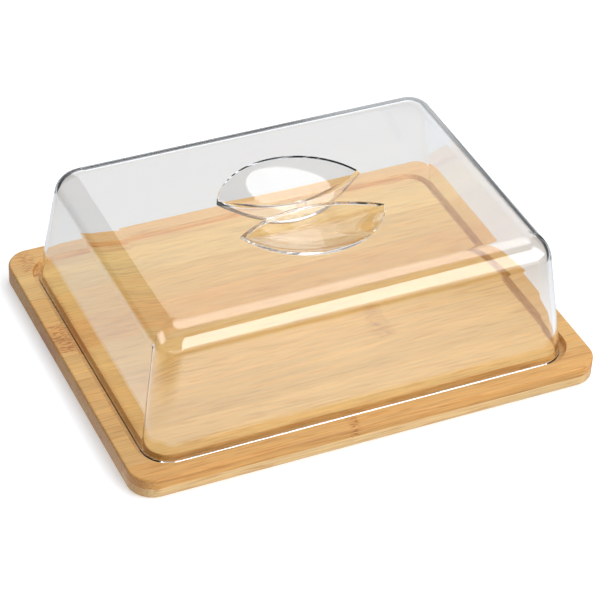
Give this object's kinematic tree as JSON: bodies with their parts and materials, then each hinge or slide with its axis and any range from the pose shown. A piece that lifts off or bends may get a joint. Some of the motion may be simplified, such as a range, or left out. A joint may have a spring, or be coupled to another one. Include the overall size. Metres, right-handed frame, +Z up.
{
  "type": "butter dish",
  "caption": "Rectangular bamboo board with a routed groove, and a clear moulded lid that stands in it, with two finger wells and a bridge to pinch.",
  "frame": {"origin": "centre of the underside of the board, on the surface it stands on", "axes": "+X along the board's length, +Y from front to rear across the bridge of the lid, +Z up"},
  "size_m": [0.2, 0.155, 0.0615],
  "materials": {
    "bamboo_pale": "oiled, smooth sanded",
    "bamboo_honey": "oiled, smooth sanded",
    "bamboo_amber": "oiled, smooth sanded",
    "bamboo_brown": "oiled, smooth sanded",
    "clear_plastic": "polished, water clear"
  },
  "bodies": {
    "base": {"top_stave_1": "bamboo_brown", "top_stave_2": "bamboo_pale", "top_stave_3": "bamboo_honey", "top_stave_4": "bamboo_honey", "top_stave_5": "bamboo_honey", "top_stave_6": "bamboo_amber", "top_stave_7": "bamboo_honey", "top_stave_8": "bamboo_pale", "top_stave_9": "bamboo_amber", "bottom_stave_1": "bamboo_pale", "bottom_stave_2": "bamboo_honey", "bottom_stave_3": "bamboo_amber", "bottom_stave_4": "bamboo_pale", "bottom_stave_5": "bamboo_honey", "bottom_stave_6": "bamboo_brown", "bottom_stave_7": "bamboo_honey", "bottom_stave_8": "bamboo_pale", "bottom_stave_9": "bamboo_honey"},
    "lid": {"lid": "clear_plastic"}
  },
  "joints": [
    {"name": "lid_lift", "type": "slide", "parent": "base", "child": "lid", "axis": [0, 0, 1], "range_m": [0, 0.1]}
  ]
}
